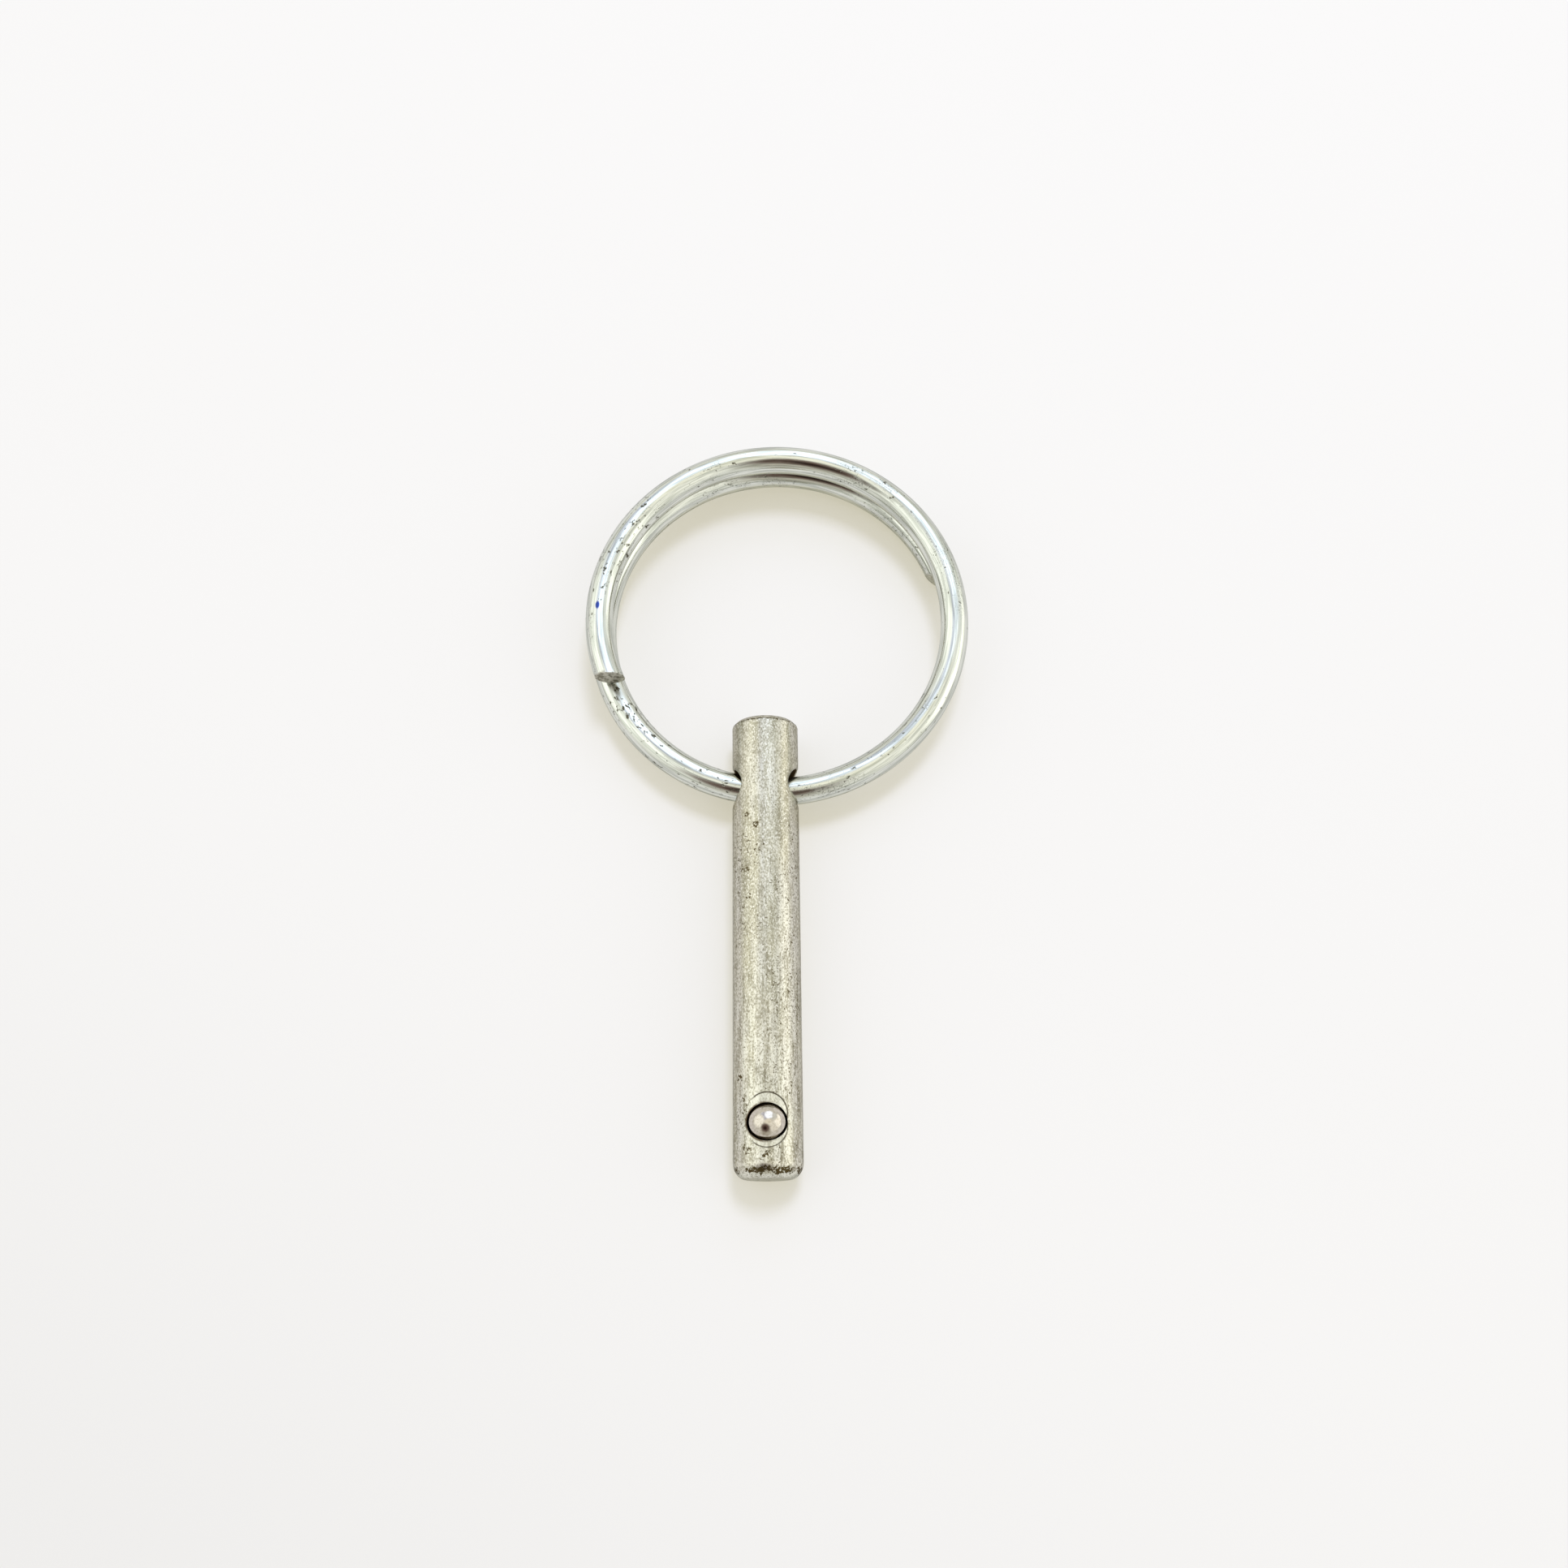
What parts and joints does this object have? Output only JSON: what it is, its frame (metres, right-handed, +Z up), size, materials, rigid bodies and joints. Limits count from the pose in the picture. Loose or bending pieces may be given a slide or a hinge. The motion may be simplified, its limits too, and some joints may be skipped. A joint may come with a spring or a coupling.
{
  "type": "ring-grip detent pin",
  "caption": "Plain round steel quick-release pin with a sprung ball near its tip and a split ring through a cross hole at its head.",
  "frame": {"origin": "on the shank's axis at the start of the plain grip, next to the cross hole that holds the ring", "axes": "-Y along the shank towards its tip, +Z up the way the ball points, the pin lying as it comes to rest on a flat surface at z = -0.003175"},
  "size_m": [0.0377, 0.0726, 0.007],
  "materials": {
    "shank_steel": "tumbled and zinc plated, fine mottled satin with a faint olive cast",
    "ring_steel": "bright plated drawn wire with a faint green tint",
    "ball_steel": "polished bearing ball",
    "spring_steel": "plain spring wire"
  },
  "bodies": {
    "pin": {"shank": "shank_steel", "detent_spring": "spring_steel"},
    "ring": {"split_ring": "ring_steel"},
    "ball": {"detent_ball": "ball_steel"}
  },
  "joints": [
    {"name": "ring_swing", "type": "hinge", "parent": "pin", "child": "ring", "pos_m": [0, 0.0022, 0], "axis": [1, 0, 0], "range_deg": [-168, 168]},
    {"name": "ball_press", "type": "slide", "parent": "pin", "child": "ball", "axis": [0, 0, -1], "range_m": [0, 0.00066], "stiffness_N_per_m": 2800, "springref_m": -0.001, "deforming": ["detent_spring"]}
  ]
}
